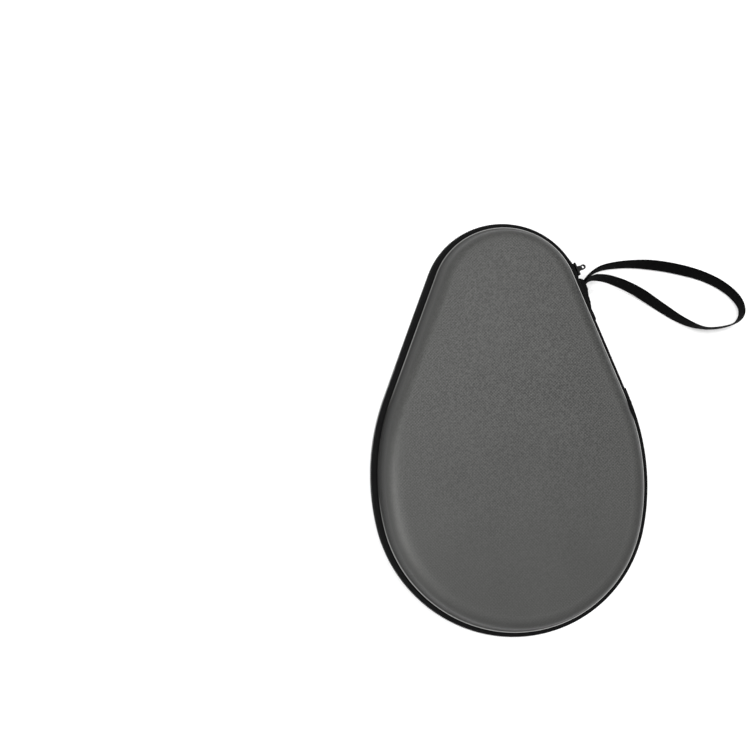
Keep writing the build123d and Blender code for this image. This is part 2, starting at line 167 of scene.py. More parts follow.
# --- Meshes ---
def new_piece(name, verts, faces, uvs=None, smooth_angle=38.0, marks=None, merge=0.0):
    """A mesh piece with its faces outwards. uvs has one (u, v) in metres per face corner, face by
    face; marks holds named values for each point; points closer than merge are joined."""
    mesh = bpy.data.meshes.new(name)
    mesh.from_pydata(verts, [], faces)
    if uvs:
        layer = mesh.uv_layers.new(name="weave")
        flat = [value for uv in uvs for value in uv]
        layer.data.foreach_set("uv", flat)
    for mark, values in (marks or {}).items():
        mesh.attributes.new(mark, "FLOAT", "POINT").data.foreach_set("value", values)
    mesh.validate()
    mesh.shade_smooth()
    mesh.set_sharp_from_angle(angle=radians(smooth_angle))
    piece = bpy.data.objects.new(name, mesh)
    scene.collection.objects.link(piece)
    bm = bmesh.new()
    bm.from_mesh(mesh)
    if merge:
        bmesh.ops.remove_doubles(bm, verts=bm.verts, dist=merge)
    bmesh.ops.recalc_face_normals(bm, faces=bm.faces)
    bm.to_mesh(mesh)
    bm.free()
    return piece


def flip(height, lower):
    return -height if lower else height


def tube_faces(rows, size, first=0):
    """The faces of a tube: rows of quads between rings of size points, then its two ends."""
    faces = []
    for row in range(rows):
        for col in range(size):
            a = first + row * size + col
            b = first + row * size + (col + 1) % size
            faces.append((a, a + size, b + size, b))
    for row in (0, rows):
        faces.append(tuple(first + row * size + col for col in range(size)))
    return faces


def circle(sides):
    """(cos, sin) of even turns round a circle."""
    turns = [2 * pi * side / sides for side in range(sides)]
    return [(cos(turn), sin(turn)) for turn in turns]


def tube_uvs(rings):
    """A (u, v) for each corner of tube_faces, from rings of (u, v) in millimetres."""
    uvs = []
    rows, size = len(rings) - 1, len(rings[0])
    for row in range(rows):
        for col in range(size):
            beside = (col + 1) % size
            uvs += [rings[row][col], rings[row + 1][col], rings[row + 1][beside], rings[row][beside]]
    uvs += rings[0] + rings[rows]
    return [(u * MM, v * MM) for u, v in uvs]


def lengths_round(section):
    """How far round a closed section each of its points is, back to the first one."""
    walk = [0.0]
    for (a, b), (c, d) in zip(section, section[1:] + section[:1]):
        walk.append(walk[-1] + hypot(c - a, d - b))
    return walk


def sweep(name, runs, section, ring=False, lower=False, smooth_angle=38.0):
    """Carries a closed section of (out, height) points along the rim; it may depend on the run."""
    verts, faces, uvs = [], [], []
    sections = [section(run) if callable(section) else section for run in runs]
    size = len(sections[0])
    walk = lengths_round(sections[0])
    for run, points in zip(runs, sections):
        verts += [rim_point(run, out, flip(height, lower)) for out, height in points]
    last = len(runs) if ring else len(runs) - 1
    for row in range(last):
        after = (row + 1) % len(runs)
        u0 = runs[row] * MM
        u1 = (runs[row + 1] if row + 1 < len(runs) else runs[0] + RIM_RUN) * MM
        for col in range(size):
            beside = (col + 1) % size
            faces.append((row * size + col, after * size + col, after * size + beside, row * size + beside))
            v0, v1 = walk[col] * MM, walk[col + 1] * MM
            uvs += [(u0, v0), (u1, v0), (u1, v1), (u0, v1)]
    if not ring:
        for row, run in ((0, runs[0]), (len(runs) - 1, runs[-1])):
            faces.append(tuple(row * size + col for col in range(size)))
            uvs += [(run * MM + (out + height) * MM, out * MM) for out, height in sections[row]]
    return new_piece(name, verts, faces, uvs, smooth_angle=smooth_angle)


def rounded(points, radius, steps=3):
    """A closed section with its corners rounded."""
    result = []
    count = len(points)
    for index in range(count):
        before = Vector(points[index - 1])
        corner = Vector(points[index])
        after = Vector(points[(index + 1) % count])
        room = min(radius, (before - corner).length * 0.45, (after - corner).length * 0.45)
        a = corner + (before - corner).normalized() * room
        b = corner + (after - corner).normalized() * room
        for step in range(steps + 1):
            t = step / steps
            spot = a * (1 - t) ** 2 + corner * 2 * t * (1 - t) + b * t * t
            result.append((spot.x, spot.y))
    return result


def box_section(out_low, out_high, low, high, radius, steps=3):
    return rounded([(out_low, low), (out_high, low), (out_high, high), (out_low, high)], radius, steps)


# --- Shell layers ---
CROWN = 0.9               # the panel's middle stands this far over its edge
RINGS = 26


def shell_frame(depth):
    """The wall's foot, the shoulder's radius, the top, and where the shoulder's centre and start are."""
    step = SHELL_IN + depth / cos(WALL_DRAFT)
    radius = SHOULDER_R - depth
    top = Z_MID - depth
    centre_in = (top - radius - BAND_HALF) * tan(WALL_DRAFT) + radius / cos(WALL_DRAFT) + step
    return step, radius, top, centre_in, centre_in - radius * cos(WALL_DRAFT)


def shell_height(depth_in, depth, reach):
    """Height of a shell surface, depth under the skin's outside, at depth_in from the rim."""
    step, radius, top, centre_in, tangent_in = shell_frame(depth)
    if depth_in <= tangent_in:
        return BAND_HALF + (depth_in - step) / tan(WALL_DRAFT)
    if depth_in < centre_in:
        height = top - radius + sqrt(max(0.0, radius ** 2 - (centre_in - depth_in) ** 2))
    else:
        height = top
    shoulder = SHOULDER_R + 3.0
    rise = min(1.0, max(0.0, (depth_in - shoulder * 0.55) / (reach - shoulder * 0.55)))
    soft = 1 - (1 - rise) ** 2
    start = min(1.0, max(0.0, (depth_in - tangent_in) / (centre_in - tangent_in)))
    return height - CROWN * (1 - soft) * start * start


def shell_stations(depth, reach):
    """(distance in from the rim, height) up the wall, over the shoulder and to the middle line."""
    step, radius, _, centre_in, tangent_in = shell_frame(depth)
    spots = [step + (tangent_in - step) * share for share in (0.0, 0.25, 0.5, 0.75)]
    arc_steps = 18
    for index in range(arc_steps):
        angle = WALL_DRAFT + (pi / 2 - WALL_DRAFT) * index / arc_steps
        spots.append(centre_in - radius * cos(angle))
    spots += [centre_in + (reach - centre_in) * (index / RINGS) ** 1.15 for index in range(RINGS + 1)]
    return [(spot, shell_height(spot, depth, reach)) for spot in spots]


def nearness(run, place, radius):
    """1 at a place in the plan, falling to 0 beyond a radius round it."""
    spot, _, _ = rim_at(run)
    return exp(-((spot - Vector(place)).length / radius) ** 2)


def between_keys(keys, value):
    """Value between (place, value) keys."""
    for (a, low), (b, high) in zip(keys, keys[1:]):
        if value <= b:
            share = max(0.0, (value - a) / (b - a))
            return low + (high - low) * share
    return keys[-1][1]


def lip_wear_and_highlight(run, out, height):
    """How much the lip is lightened towards a light grey: partly wear and partly a painted highlight of the
    lip catching the light, most on the right and the bottom, hardly on the left, where it is in shade.
    """
    if height > BAND_HALF + 1.2:
        return 0.0
    spot, _, _ = rim_at(run)
    right = between_keys([(-50.0, 0.0), (50.0, 1.0)], spot.x)
    # No painted highlight on the left, where the lip is in shade.
    left_in_shade = min(1.0, 1.35 * nearness(run, (-92.0, -20.0), 54.0))
    quiet = 0.6 * nearness(run, (-62.0, 100.0), 60.0)
    painted_light_by_side = (0.65 + 0.35 * right) * (1 - left_in_shade) * (1 - quiet)
    return painted_light_by_side * min(1.0, max(0.0, 1.35 - abs(out - LIP_EDGE) / 0.64))


# Keys of (distance in from the rim, value).
GRAIN_KEPT = [(3.0, 0.15), (16.0, 1.0)]
# Painted shade: the skin's colour darkened towards the lip for the wall's shading, and deeper still on the
# left.
RIM_PAINTED_SHADE = [(0.4, 0.42), (1.6, 0.46), (3.2, 0.56), (5.5, 0.74), (8.0, 0.89), (12.0, 1.0)]
LEFT_PAINTED_SHADE = [(0.4, 0.45), (3.0, 0.55), (5.0, 0.75), (7.0, 0.92), (9.0, 1.0)]


def rim_painted_light(run, out):
    """Painted light that scales the skin's colour: painted shade deepest against the lip, most of all
    on the left, painted shade up the wall on the right, and a painted highlight on the left shoulder lower
    down."""
    spot, _, _ = rim_at(run)
    left = nearness(run, (-92.0, -25.0), 62.0)
    # Painted highlight on the left shoulder, lower down.
    painted_highlight = 0.60 * nearness(run, (-84.0, -68.0), 56.0) * exp(-((-out - 11.5) / 4.4) ** 2)
    right = between_keys([(-40.0, 0.0), (10.0, 1.0)], spot.x)
    # Painted shade up the wall on the right.
    painted_light_by_side = 1 - 0.50 * right * exp(-((-out - 4.5) / 4.0) ** 2)
    return (between_keys(RIM_PAINTED_SHADE, -out) + painted_highlight) * painted_light_by_side * (1 - left * (1 - between_keys(LEFT_PAINTED_SHADE, -out)))


def shell_layer(name, outer_depth, thickness, lower, foot_at=None, step=2.0):
    """A closed layer of the moulded shell. foot_at gives (out, height) points below its outer wall."""
    count = int(RIM_RUN / step)
    verts, faces = [], []
    marks = {"lip_highlight_wear": [], "rim_painted_light": [], "grain": []}
    for index in range(count):
        run = RIM_RUN * index / count
        _, _, reach = rim_at(run)
        outer = [(-spot, height) for spot, height in shell_stations(outer_depth, reach)]
        foot = foot_at(run) if foot_at else []
        if foot:
            outer = [point for point in outer if point[1] > foot[-1][1] + 0.2]
        inner = [(-spot, height) for spot, height in shell_stations(outer_depth + thickness, reach)]
        column = foot + outer + inner[::-1]
        verts += [rim_point(run, out, flip(height, lower)) for out, height in column]
        # Per-point values: the lip's painted highlight (partly wear), the painted shade and highlight near
        # the rim, and how much grain shows.
        marks["lip_highlight_wear"] += [lip_wear_and_highlight(run, out, height) for out, height in column]
        marks["rim_painted_light"] += [rim_painted_light(run, out) for out, _ in column]
        marks["grain"] += [between_keys(GRAIN_KEPT, -out) for out, _ in column]
    size = len(column)
    middle = len(foot) + len(outer) - 1
    for row in range(count):
        after = (row + 1) % count
        for col in range(size):
            if col == middle:
                continue
            beside = (col + 1) % size
            faces.append((row * size + col, after * size + col, after * size + beside, row * size + beside))
    piece = new_piece(name, verts, faces, smooth_angle=40, marks=marks, merge=1e-5)
    piece.data.shade_smooth()
    piece.data.set_sharp_from_angle(angle=radians(40))
    return piece


def lip_foot(run):
    """The pinched lip under the wall, pushed in where the zip's lower end is bulky beneath it."""
    bulk = 0.65 * exp(-((side_run(run) % RIM_RUN - FOLD_MIDDLE) / 6.5) ** 2)
    profile = [
        (-0.45, 8.5), (-0.2, 8.5), (0.45, 8.5), (0.8, 8.56), (0.95, 8.75), (0.98, 8.95), (0.90, 9.16),
        (0.72, 9.30), (0.50, 9.36), (0.30, 9.40), (0.16, 9.50), (0.10, 9.70),
    ]
    squeeze = 0.0 if bulk < 0.01 else bulk
    pushed = [out + LIP_EDGE - 0.98 - squeeze * (out + 0.45) / 1.43 for out, _ in profile]
    return [(max(-1.8, out), height) for out, (_, height) in zip(pushed, profile)]


# --- Zip tape ---
def arc_points(out, height, radius, degrees):
    turns = [radians(degree) for degree in degrees]
    return [(out + radius * cos(turn), height + radius * sin(turn)) for turn in turns]


def tape_section(low):
    """The tape's section: up from the parting plane, over the bend, into the seam under the lip."""
    outer_top = [(1.6, 7.65), (0.9, 7.6), (0.4, 7.25), (-0.1, 7.15), (-0.6, 7.55), (-1.2, 8.25), (-3.5, 8.4)]
    inner_top = [(1.2, 6.75), (0.6, 6.6), (0.2, 6.4), (-0.3, 6.3), (-0.9, 6.8), (-1.5, 7.4), (-3.5, 7.5)]
    sides = []
    for out, radius, top in ((TAPE_OUT, 4.9, outer_top), (TAPE_OUT - TAPE, 4.9 - TAPE, inner_top)):
        side = [(out, low), (out, low + 0.3), (out, max(2.0, low + 0.6))]
        bend = arc_points(-0.75, 3.5, radius, range(0, 55, 9))
        sides.append(side + [point for point in bend if point[1] > low + 1.0] + top)
    return sides[0] + sides[1][::-1]


SLIDER_NOTCH = 4.75       # the lid's tape starts this high beside the closed slider
NOTCH_RUN = (-4.2, 9.2)
ZIP_START = side_run(HINGE_START)
ZIP_END = RIM_RUN + side_run(HINGE_END)


def zip_tapes(lower):
    half = "base" if lower else "lid"
    spans = [(ZIP_START, ZIP_END, PARTING)]
    if not lower:
        notch_start, notch_end = NOTCH_RUN
        spans = [
            (ZIP_START, notch_start, PARTING),
            (notch_start, notch_end, SLIDER_NOTCH),
            (notch_end, ZIP_END, PARTING),
        ]
    pieces = []
    for start, end, low in spans:
        section = tape_section(low)
        pieces.append(sweep(f"{half}_zip_tape_cloth", runs_between(start, end, 1.6), section, lower=lower))
    return join(pieces)


def join(pieces):
    """Joins pieces into the first one."""
    first = pieces[0]
    if len(pieces) == 1:
        return first
    bm = bmesh.new()
    for piece in pieces:
        bm.from_mesh(piece.data)
    bm.to_mesh(first.data)
    bm.free()
    for piece in pieces[1:]:
        bpy.data.objects.remove(piece)
    return first


TOOTH_PITCH = 1.3
TOOTH_ROWS = [  # height from the parting plane, out from the shell rim, half width
    (0.34, 4.30, 0.30), (0.42, 4.85, 0.50), (0.75, 5.22, 0.56), (1.25, 5.30, 0.44),
    (2.05, 5.28, 0.40), (2.50, 5.05, 0.38), (2.74, 4.45, 0.30),
]
TOOTH_COLS = [(-1.0, 0.0), (-0.8, 0.62), (-0.35, 0.93), (0.35, 0.93), (0.8, 0.62), (1.0, 0.0)]


def zip_teeth(lower, start, phase):
    """The coil's turns, one closed solid for each, with their heads at the parting plane."""
    name = ("base" if lower else "lid") + "_zip_coil_teeth"
    verts, faces = [], []
    run = start + TOOTH_PITCH * (0.6 + phase)
    rows, cols = len(TOOTH_ROWS), len(TOOTH_COLS)
    while run < RIM_RUN + side_run(COIL_END) - TOOTH_PITCH * 0.6:
        first = len(verts)
        for height, out, half in TOOTH_ROWS:
            for across, lift in TOOTH_COLS:
                level = TAPE_OUT + 0.04 + (out - TAPE_OUT - 0.04) * lift
                verts.append(rim_point(run + across * half, level, flip(height, lower)))
        faces += tube_faces(rows - 1, cols, first)
        run += TOOTH_PITCH
    return new_piece(name, verts, faces, smooth_angle=60)


def stitch_row(name, runs, out, height, length, size, lower, slant=0.0):
    """Lockstitches: short plump threads along the rim, sunk a little at both ends."""
    verts, faces = [], []
    steps, sides = 5, 6
    for run in runs:
        first = len(verts)
        for step in range(steps + 1):
            t = step / steps * 2 - 1
            fat = size / 2 * sqrt(max(0.08, 1 - t ** 4))
            sink = 0.22 * size * t * t
            for across, up in circle(sides):
                level = flip(height + fat * up - sink, lower)
                verts.append(rim_point(run + t * length / 2, out + slant * t + fat * across, level))
        faces += tube_faces(steps, sides, first)
    return new_piece(name, verts, faces, smooth_angle=60)


# --- Materials ---
class Finish:
    """A principled material with its detail nodes."""

    def __init__(self, name, color, roughness, **sockets):
        self.mat = bpy.data.materials.new(name)
        self.mat.use_nodes = True
        self.nodes = self.mat.node_tree.nodes
        self.links = self.mat.node_tree.links
        self.shader = self.nodes["Principled BSDF"]
        self.color = color
        for socket, value in {"Base_Color": (*color, 1), "Roughness": roughness, **sockets}.items():
            self.shader.inputs[socket.replace("_", " ")].default_value = value
        self.place = self.node("TexCoord").outputs["Object"]
        self.height = None

    def node(self, kind, source=None, **values):
        """A node with its values set, fed by source."""
        node = self.nodes.new("ShaderNode" + kind)
        for socket, value in values.items():
            node.inputs[socket.replace("_", " ")].default_value = value
        if source is not None:
            self.links.new(source, node.inputs["Vector"])
        return node

    def math(self, operation, a, b=None, clamp=False):
        node = self.node("Math")
        node.operation = operation
        node.use_clamp = clamp
        for slot, value in ((0, a), (1, b)):
            if value is None:
                continue
            if isinstance(value, (int, float)):
                node.inputs[slot].default_value = value
            else:
                self.links.new(value, node.inputs[slot])
        return node.outputs[0]

    def noise(self, size, detail=3.0, rough=0.55, distortion=0.0):
        values = {"Scale": 1 / (size * MM), "Detail": detail, "Roughness": rough, "Distortion": distortion}
        return self.node("TexNoise", self.place, **values).outputs["Fac"]

    def cells(self, size, feature="F1"):
        node = self.node("TexVoronoi", self.place, Scale=1 / (size * MM))
        node.feature = feature
        return node.outputs["Distance"]

    def axes(self, source=None):
        return self.node("SeparateXYZ", source or self.place).outputs

    def weave_axes(self):
        node = self.node("UVMap")
        node.uv_map = "weave"
        return self.axes(node.outputs["UV"])

    def mark(self, name):
        node = self.node("Attribute")
        node.attribute_name = name
        return node.outputs["Fac"]

    def ripple(self, value, pitch, shift=None):
        """A wave from 0 to 1 along a value in metres."""
        turns = self.times(value, 2 * pi / (pitch * MM))
        if shift is not None:
            turns = self.plus(turns, shift)
        return self.plus(self.times(self.math("SINE", turns), 0.5), 0.5)

    def map_range(self, value, low, high, side):
        node = self.node("MapRange", **{f"{side} Min": low, f"{side} Max": high})
        self.links.new(value, node.inputs["Value"])
        return node.outputs["Result"]

    def contrast(self, value, low, high):
        """Stretches low..high to 0..1."""
        return self.map_range(value, low, high, "From")

    def spread(self, value, low, high):
        """Maps 0..1 to low..high."""
        return self.map_range(value, low, high, "To")

    def times(self, a, b, clamp=False):
        return self.math("MULTIPLY", a, b, clamp)

    def plus(self, a, b):
        return self.math("ADD", a, b)

    def mix(self, *parts):
        """The sum of (value, share) parts."""
        products = [self.times(value, share) for value, share in parts]
        return reduce(self.plus, products)

    def shade(self, amount, factor_low, factor_high):
        """Colours the surface between two shades of its own colour by amount."""
        node = self.nodes.new("ShaderNodeMix")
        node.data_type = "RGBA"
        self.links.new(amount, node.inputs["Factor"])
        low = [c * factor_low for c in self.color]
        high = [c * factor_high for c in self.color]
        node.inputs["A"].default_value = (*low, 1)
        node.inputs["B"].default_value = (*high, 1)
        self.links.new(node.outputs["Result"], self.shader.inputs["Base Color"])
        return node

    def rough(self, amount, low, high):
        self.links.new(self.spread(amount, low, high), self.shader.inputs["Roughness"])

    def bump(self, value, depth):
        """Adds relief of a depth in millimetres."""
        node = self.node("Bump", Distance=depth * MM, Strength=1.0)
        self.links.new(value, node.inputs["Height"])
        if self.height is not None:
            self.links.new(self.height, node.inputs["Normal"])
        self.height = node.outputs["Normal"]
        self.links.new(self.height, self.shader.inputs["Normal"])


def skin_finish():
    """Grey leather-look skin: a diagonal grain, worn smooth towards the wide end."""
    f = Finish("grey_skin", (0.0535, 0.0538, 0.0520), 0.5, Specular_IOR_Level=0.13)
    x, y, z = f.axes()
    waver = f.times(f.noise(8, 3), 6.0)
    rising = f.ripple(f.plus(x, f.plus(y, z)), 2.05, waver)
    falling = f.ripple(f.math("SUBTRACT", x, f.math("SUBTRACT", y, z)), 2.2, waver)
    twill = f.times(rising, falling)
    pores = f.cells(1.4)
    fine = f.contrast(f.noise(1.1, 2), 0.36, 0.64)
    grain = f.mix((twill, 0.5), (pores, 0.6))
    mottle = f.mix((twill, 0.55), (fine, 0.55))
    kept = f.times(f.spread(f.contrast(y, -0.090, 0.020), 0.16, 0.66), f.mark("grain"))
    middle_grey = 0.41
    mottle = f.plus(f.times(f.math("SUBTRACT", mottle, middle_grey), kept), middle_grey)
    patches = f.noise(38, 3)
    coat = f.shade(f.mix((mottle, 0.88), (patches, 0.12)), 0.16, 2.05)
    # Painted shade and highlight near the rim: the colour is scaled by per-point values from the shell
    # layers.
    painted_light_scaled = f.nodes.new("ShaderNodeVectorMath")
    painted_light_scaled.operation = "SCALE"
    f.links.new(coat.outputs["Result"], painted_light_scaled.inputs["Vector"])
    f.links.new(f.mark("rim_painted_light"), painted_light_scaled.inputs["Scale"])
    # Painted highlight on the lip, partly wear: the colour is mixed towards a light grey there.
    painted_highlight = f.times(f.mark("lip_highlight_wear"), f.spread(f.noise(5, 3), 0.7, 1.0))
    edge = f.nodes.new("ShaderNodeMix")
    edge.data_type = "RGBA"
    f.links.new(painted_highlight, edge.inputs["Factor"])
    f.links.new(painted_light_scaled.outputs["Vector"], edge.inputs["A"])
    edge.inputs["B"].default_value = (0.52, 0.52, 0.51, 1)
    f.links.new(edge.outputs["Result"], f.shader.inputs["Base Color"])
    f.rough(f.mix((patches, 0.5), (fine, 0.5)), 0.40, 0.56)
    f.bump(f.noise(60, 1), 0.5)
    f.bump(grain, 0.055)
    f.bump(fine, 0.02)
    return f.mat


def woven_finish(name, color, warp, weft, depth, roughness=0.8):
    """Cloth with crossing yarns, on a piece that has weave coordinates."""
    f = Finish(name, color, roughness, Sheen_Weight=0.005, Sheen_Roughness=0.45, Specular_IOR_Level=0.02)
    u, v, _ = f.weave_axes()
    along = f.ripple(u, weft)
    across = f.ripple(v, warp)
    diagonal = f.ripple(f.plus(u, f.times(v, 1.6)), weft * 2.4)
    cloth = f.mix((along, 0.28), (across, 0.42), (diagonal, 0.3))
    fuzz = f.noise(0.5, 4, 0.65)
    patches = f.noise(14, 3)
    f.shade(f.mix((cloth, 0.55), (patches, 0.3), (fuzz, 0.2)), 0.45, 1.7)
    f.rough(fuzz, roughness - 0.12, roughness + 0.1)
    f.bump(cloth, depth)
    f.bump(fuzz, depth * 0.35)
    return f.mat


def knit_finish(name, color, size, depth):
    """Knitted cloth that needs no weave coordinates."""
    f = Finish(name, color, 0.85, Sheen_Weight=0.06, Sheen_Roughness=0.5, Specular_IOR_Level=0.1)
    x, y, z = f.axes()
    wales = f.ripple(x, size, f.times(z, 2 * pi / (size * MM)))
    courses = f.ripple(y, size * 0.8, f.times(z, 2 * pi / (size * MM)))
    loops = f.times(wales, courses)
    fuzz = f.noise(0.6, 4, 0.7)
    patches = f.noise(25, 3)
    f.shade(f.mix((loops, 0.4), (fuzz, 0.35), (patches, 0.3)), 0.5, 1.6)
    f.bump(loops, depth)
    f.bump(fuzz, depth * 0.5)
    return f.mat


def foam_finish():
    f = Finish("foam", (0.012, 0.012, 0.012), 0.9, Specular_IOR_Level=0.1)
    bubbles = f.cells(0.5, "SMOOTH_F1")
    f.shade(f.noise(8, 4), 0.6, 1.5)
    f.bump(bubbles, 0.08)
    f.bump(f.noise(2.5, 3), 0.05)
    return f.mat


def nylon_finish():
    f = Finish("coil", (0.0028, 0.0028, 0.0029), 0.42, Specular_IOR_Level=0.07)
    f.shade(f.noise(6, 3), 0.6, 1.6)
    f.rough(f.noise(1.5, 3), 0.30, 0.48)
    f.bump(f.noise(0.35, 2), 0.012)
    return f.mat


def metal_finish():
    f = Finish("black_metal", (0.0035, 0.0035, 0.0037), 0.42, Specular_IOR_Level=0.09)
    scuffs = f.noise(1.6, 5, 0.7, distortion=0.6)
    sharp = f.math("POWER", scuffs, 5.0)
    f.shade(f.times(sharp, 6.0, clamp=True), 0.8, 3.4)
    f.rough(scuffs, 0.34, 0.55)
    f.bump(f.noise(0.8, 4), 0.012)
    return f.mat


def thread_finish():
    f = Finish("thread", (0.010, 0.010, 0.010), 0.6, Sheen_Weight=0.04, Specular_IOR_Level=0.15)
    x, y, z = f.axes()
    twist = f.ripple(f.plus(f.plus(x, y), z), 0.42)
    f.shade(twist, 0.6, 1.5)
    f.bump(twist, 0.03)
    f.bump(f.noise(0.3, 3), 0.01)
    return f.mat


def webbing_finish():
    """Ribbed webbing; the ribs themselves are in the mesh, and yarns run along them."""
    cloth = {"Sheen_Weight": 0.004, "Sheen_Roughness": 0.4, "Specular_IOR_Level": 0.02}
    f = Finish("webbing", (0.0022, 0.0022, 0.0023), 0.66, **cloth)
    u, v, _ = f.weave_axes()
    yarns = f.ripple(v, 0.55)
    ribs = f.ripple(u, 0.8)
    fuzz = f.noise(0.45, 4, 0.65)
    f.shade(f.mix((ribs, 0.45), (yarns, 0.2), (fuzz, 0.4)), 0.5, 1.8)
    f.rough(fuzz, 0.5, 0.75)
    f.bump(yarns, 0.03)
    f.bump(fuzz, 0.03)
    return f.mat


FINISHES = {
    "grey_skin": skin_finish(),
    "foam": foam_finish(),
    "lining": knit_finish("lining", (0.013, 0.013, 0.0136), 1.3, 0.09),
    "zip_tape": woven_finish("zip_tape", (0.0046, 0.0046, 0.0047), 0.62, 0.85, 0.09),
    "coil": nylon_finish(),
    "binding": woven_finish("binding", (0.0065, 0.0065, 0.0065), 0.7, 0.9, 0.08),
    "thread": thread_finish(),
    "mesh": knit_finish("mesh", (0.009, 0.009, 0.0094), 0.7, 0.04),
    "elastic": woven_finish("elastic", (0.007, 0.007, 0.007), 0.9, 0.75, 0.07),
    "webbing": webbing_finish(),
    "black_metal": metal_finish(),
}


def dress(piece, body, slot, *nodes):
    """Gives a piece its material and its body, and hides the CAD nodes it stands for."""
    piece.data.materials.clear()
    piece.data.materials.append(FINISHES[slot])
    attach(piece, body)
    if nodes:
        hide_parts(*nodes)
    return piece


# --- Camera and strap, first ---
CAMERA_PLACE = (-0.094, -0.004, 0.422)    # over the left-hand rim
camera_data = bpy.data.cameras.new("camera")
camera_data.lens = 25.92
camera_data.sensor_width = 36.0
camera_data.clip_start = 0.01
camera = bpy.data.objects.new("camera", camera_data)
turn = Matrix.Rotation(radians(-0.3), 4, "Z") @ Matrix.Rotation(radians(0.3), 4, "Y")
camera.matrix_world = Matrix.Translation(CAMERA_PLACE) @ turn @ Matrix.Rotation(radians(5.7), 4, "X")
scene.collection.objects.link(camera)
scene.camera = camera

# The strap's route as in the CAD: down the side, out from the ridge, height, and the webbing's lean.
STRAP_ROUTE = [
    (11.0, -0.4, 18.0, 107), (7.6, 5.6, 17.2, 107), (3.4, 13.4, 15.6, 104), (0.6, 24.5, 12.0, 105),
    (2.8, 41.3, 8.2, 111), (9.4, 62.4, 5.9, 122), (21.3, 83.8, 5.5, 120), (37.1, 104.5, 5.5, 108),
    (54.3, 117.0, 5.5, 96), (69.3, 120.3, 5.5, 82), (78.3, 112.7, 5.5, 84), (77.7, 98.5, 5.5, 88),
    (72.5, 82.6, 5.5, 94), (60.3, 70.1, 5.5, 80), (43.4, 58.5, 5.6, 70), (27.1, 47.1, 7.0, 63),
    (15.2, 33.9, 10.2, 66), (8.4, 22.6, 13.8, 73), (5.8, 13.0, 16.6, 77), (9.4, 5.2, 17.6, 76),
    (13.4, -0.4, 18.0, 76),
]
STRAP_WIDTH = 10.0
STRAP_THICKNESS = 0.9
RIB_PITCH = 0.8
GATHERED = 0.52           # share of its width left where it is sewn in


def route_line(points):
    """Smooth points of a NURBS spline with these control points."""
    curve = bpy.data.curves.new("route", "CURVE")
    curve.dimensions = "3D"
    curve.resolution_u = 24
    spline = curve.splines.new("NURBS")
    spline.points.add(len(points) - 1)
    for target, point in zip(spline.points, points):
        target.co = (*point, 1)
    spline.order_u = 3
    spline.use_endpoint_u = True
    holder = bpy.data.objects.new("route", curve)
    scene.collection.objects.link(holder)
    bpy.context.view_layer.update()
    mesh = bpy.data.meshes.new_from_object(holder)
    line = [vert.co.copy() for vert in mesh.vertices]
    bpy.data.meshes.remove(mesh)
    bpy.data.objects.remove(holder)
    bpy.data.curves.remove(curve)
    return line


def along_line(line, spacing):
    """(point, direction, distance, share of the spline's parameter) at even steps along a line."""
    distance = [0.0]
    for a, b in zip(line, line[1:]):
        distance.append(distance[-1] + (b - a).length)
    total = distance[-1]
    count = int(total / spacing)
    stations, index = [], 0
    for step in range(count + 1):
        wanted = total * step / count
        while index < len(line) - 2 and distance[index + 1] < wanted:
            index += 1
        span = distance[index + 1] - distance[index]
        t = (wanted - distance[index]) / span if span else 0.0
        spot = line[index].lerp(line[index + 1], t)
        before = line[max(0, index - 1)]
        ahead = line[min(len(line) - 1, index + 2)]
        stations.append((spot, (ahead - before).normalized(), wanted, (index + t) / (len(line) - 1)))
    return stations, total


def keyed(values, share):
    """Value between evenly spaced keys."""
    place = min(max(share, 0.0), 0.99999) * (len(values) - 1)
    index = int(place)
    t = place - index
    t = t * t * (3 - 2 * t) * 0.35 + t * 0.65
    return values[index] * (1 - t) + values[index + 1] * t


def ribbon_section(width, thickness, steps=8):
    """(across, up) points round a flat webbing, with its thicker woven edges."""
    points = []
    for index in range(steps + 1):
        a = -1 + 2 * index / steps
        edge = 1 + 0.12 * max(0.0, abs(a) - 0.75) / 0.25
        pinch = 0.45 if abs(a) > 0.99 else 1.0
        points.append((a * width / 2 * 0.97, thickness / 2 * pinch * edge))
    return points + [(x, -z) for x, z in reversed(points)]


def strap_ribbon():
    line = route_line([side_point(along, out, height) for along, out, height, _ in STRAP_ROUTE])
    stations, total = along_line(line, RIB_PITCH * MM / 4)
    leans = [radians(lean) for *_, lean in STRAP_ROUTE]
    verts, uvs = [], []
    section = ribbon_section(STRAP_WIDTH * MM, STRAP_THICKNESS * MM)
    size = len(section)
    walk = lengths_round(section)
    for spot, direction, distance, share in stations:
        level = direction.cross(Vector((0, 0, 1))).normalized()
        up = level.cross(direction).normalized()
        lean = keyed(leans, share)
        across = level * cos(lean) + up * sin(lean)
        facing = direction.cross(across).normalized()
        from_end = min(distance, total - distance) / MM
        gather = GATHERED + (1 - GATHERED) * min(1.0, from_end / 16.0) ** 0.8
        rib = 1 + 0.16 * cos(2 * pi * distance / (RIB_PITCH * MM))
        edge = 1 + 0.012 * cos(2 * pi * distance / (RIB_PITCH * MM))
        for x, z in section:
            verts.append(spot + across * x * gather * edge + facing * z * rib)
    for row in range(len(stations) - 1):
        u0, u1 = stations[row][2], stations[row + 1][2]
        for col in range(size):
            uvs += [(u0, walk[col]), (u1, walk[col]), (u1, walk[col + 1]), (u0, walk[col + 1])]
    for row in (0, len(stations) - 1):
        uvs += [(stations[row][2], walk[col]) for col in range(size)]
    faces = tube_faces(len(stations) - 1, size)
    piece = new_piece("wrist_strap_webbing", verts, faces, uvs, smooth_angle=50)
    return piece, [station[0] for station in stations[::5]] + [stations[-1][0]]


